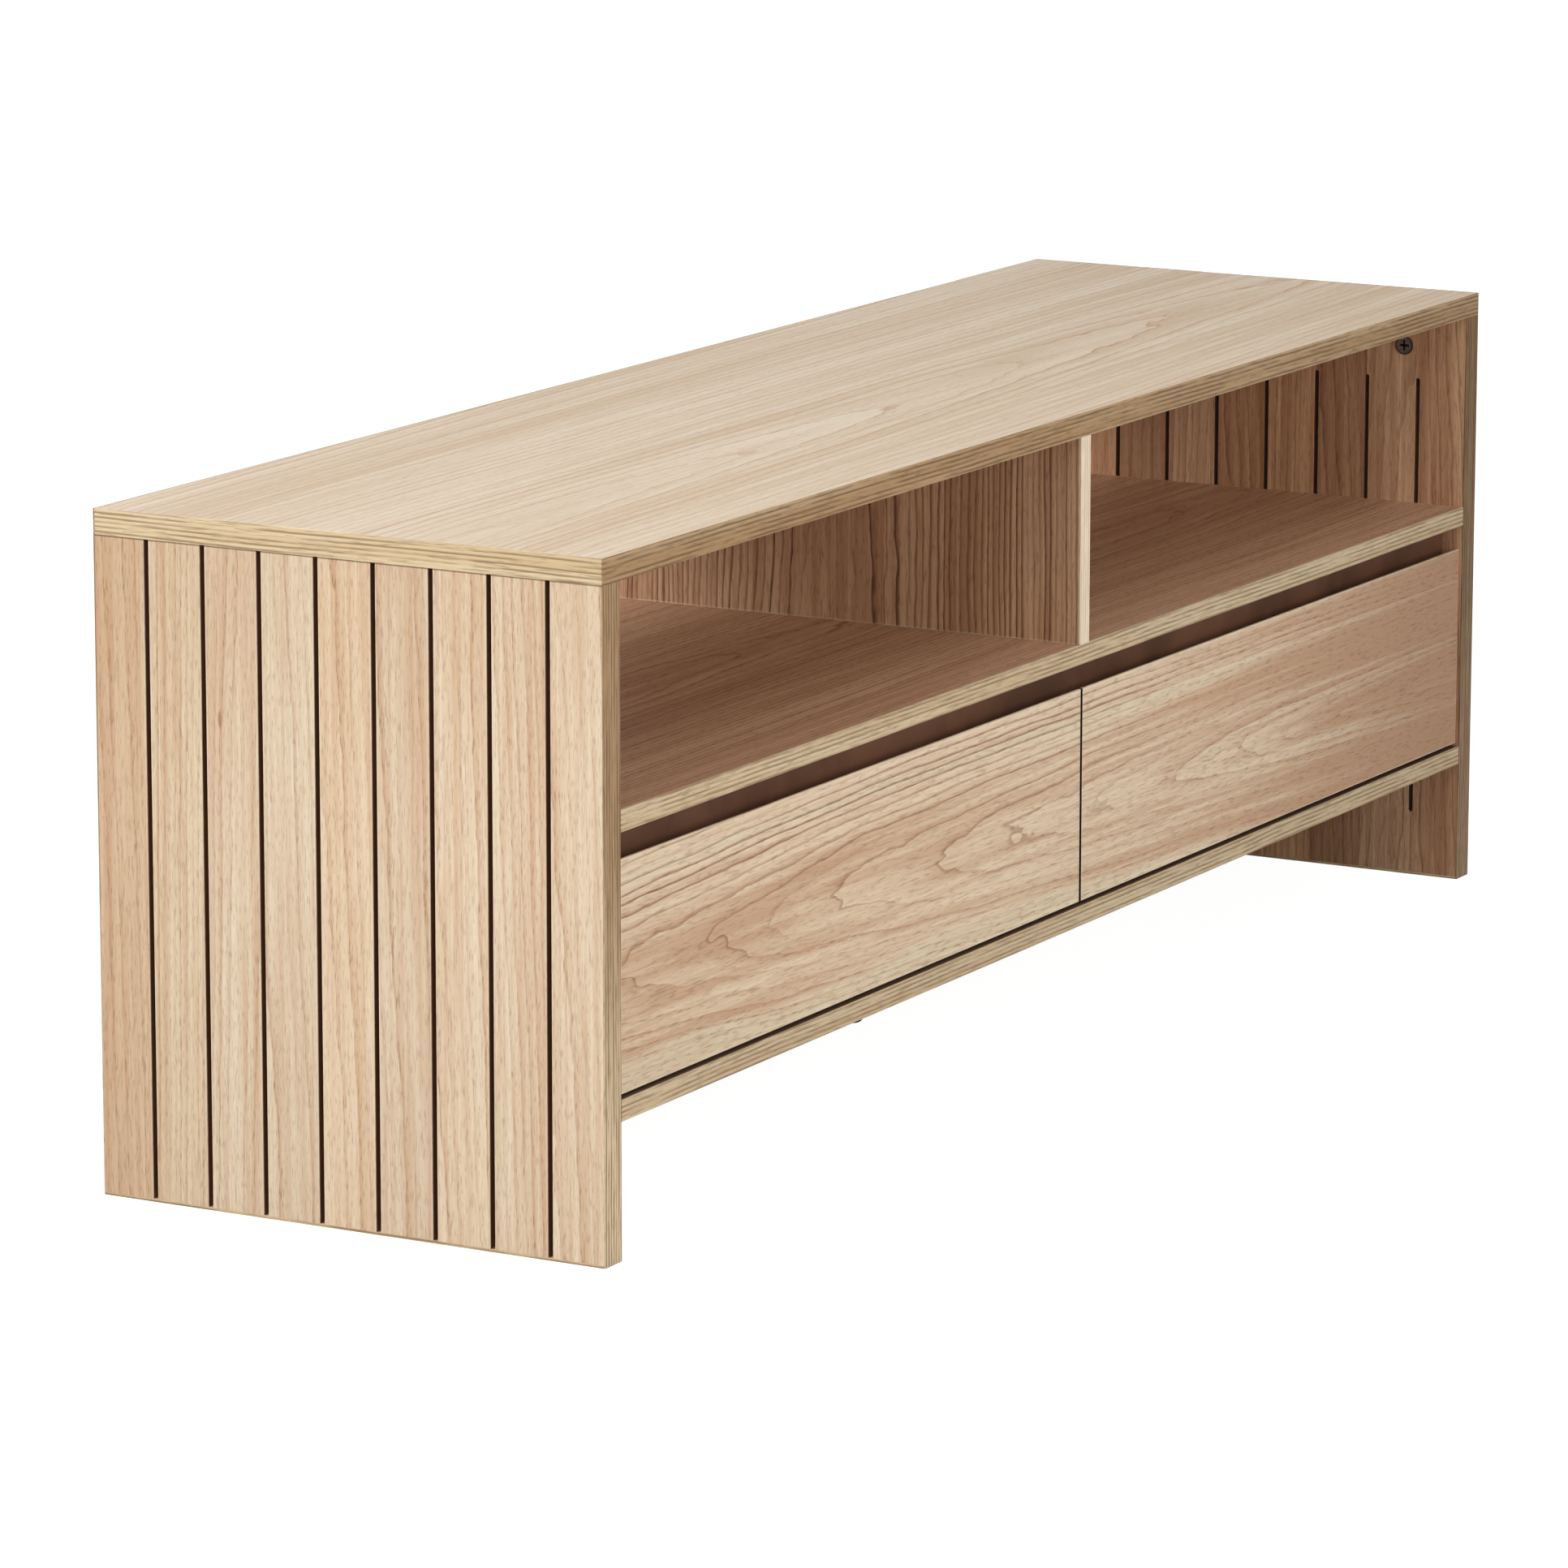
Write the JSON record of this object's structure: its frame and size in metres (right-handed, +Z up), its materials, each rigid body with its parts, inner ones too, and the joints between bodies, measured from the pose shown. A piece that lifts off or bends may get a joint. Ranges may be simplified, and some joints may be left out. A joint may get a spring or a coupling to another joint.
{
  "type": "media cabinet",
  "caption": "Low oak-look media cabinet with slatted sides, open upper bays and drawers below with a shared finger recess.",
  "frame": {"origin": "on the floor, under the middle of the cabinet", "axes": "+X to the right as seen from the front, the front faces -Y, +Z up"},
  "size_m": [1.4, 0.4, 0.48],
  "materials": {
    "oak": "matt oak-look surface with open grain",
    "oak_inside": "matt oak-look surface with open grain",
    "edge_band": "matt straight-grained edge band",
    "rail": "matt dark brown",
    "drawer_board": "pale foil-wrapped board",
    "hardboard": "smooth hardboard",
    "zinc_steel": "bright zinc plating",
    "bronze": "dark bronze plating",
    "black_steel": "black powder coat",
    "black_plastic": "moulded black plastic"
  },
  "bodies": {
    "carcass": {"top_panel": "oak", "top_front_band": "edge_band", "top_back_band": "edge_band", "top_left_band": "edge_band", "top_right_band": "edge_band", "left_side_panel": "oak", "left_side_front_band": "edge_band", "left_side_back_band": "edge_band", "left_side_foot_band": "edge_band", "right_side_panel": "oak", "right_side_front_band": "edge_band", "right_side_back_band": "edge_band", "right_side_foot_band": "edge_band", "mid_shelf": "oak_inside", "shelf_front_band": "edge_band", "bottom_panel": "oak_inside", "bottom_front_band": "edge_band", "upper_divider": "oak_inside", "divider_front_band": "edge_band", "divider_back_band": "edge_band", "lower_divider": "oak_inside", "front_rail": "rail", "back_panel": "hardboard", "cam_lock_left_front": "bronze", "cam_lock_left_back": "bronze", "cam_lock_right_front": "bronze", "cam_lock_right_back": "bronze", "cam_bolt_left_front": "zinc_steel", "cam_bolt_left_back": "zinc_steel", "cam_bolt_right_front": "zinc_steel", "cam_bolt_right_back": "zinc_steel", "leg_plate": "black_steel", "leg_post": "black_steel", "leg_foot": "black_plastic", "left_drawer_left_slide_outer": "zinc_steel", "left_drawer_right_slide_outer": "zinc_steel", "right_drawer_left_slide_outer": "zinc_steel", "right_drawer_right_slide_outer": "zinc_steel"},
    "left_slide_middles": {"left_drawer_left_slide_middle": "zinc_steel", "left_drawer_right_slide_middle": "zinc_steel"},
    "right_slide_middles": {"right_drawer_left_slide_middle": "zinc_steel", "right_drawer_right_slide_middle": "zinc_steel"},
    "left_drawer": {"left_drawer_front": "oak", "left_drawer_left_wall": "drawer_board", "left_drawer_right_wall": "drawer_board", "left_drawer_back": "drawer_board", "left_drawer_bottom": "hardboard", "left_drawer_left_slide_inner": "zinc_steel", "left_drawer_right_slide_inner": "zinc_steel"},
    "right_drawer": {"right_drawer_front": "oak", "right_drawer_left_wall": "drawer_board", "right_drawer_right_wall": "drawer_board", "right_drawer_back": "drawer_board", "right_drawer_bottom": "hardboard", "right_drawer_left_slide_inner": "zinc_steel", "right_drawer_right_slide_inner": "zinc_steel"}
  },
  "joints": [
    {"name": "left_drawer_slide", "type": "slide", "parent": "carcass", "child": "left_drawer", "axis": [0, -1, 0], "range_m": [0, 0.3]},
    {"name": "left_middle_slide", "type": "slide", "parent": "carcass", "child": "left_slide_middles", "axis": [0, -1, 0], "range_m": [0, 0.15]},
    {"name": "right_drawer_slide", "type": "slide", "parent": "carcass", "child": "right_drawer", "axis": [0, -1, 0], "range_m": [0, 0.3]},
    {"name": "right_middle_slide", "type": "slide", "parent": "carcass", "child": "right_slide_middles", "axis": [0, -1, 0], "range_m": [0, 0.15]}
  ],
  "couplings": [
    {"joint": "left_middle_slide", "follows": "left_drawer_slide", "ratio": 0.5},
    {"joint": "right_middle_slide", "follows": "right_drawer_slide", "ratio": 0.5}
  ]
}
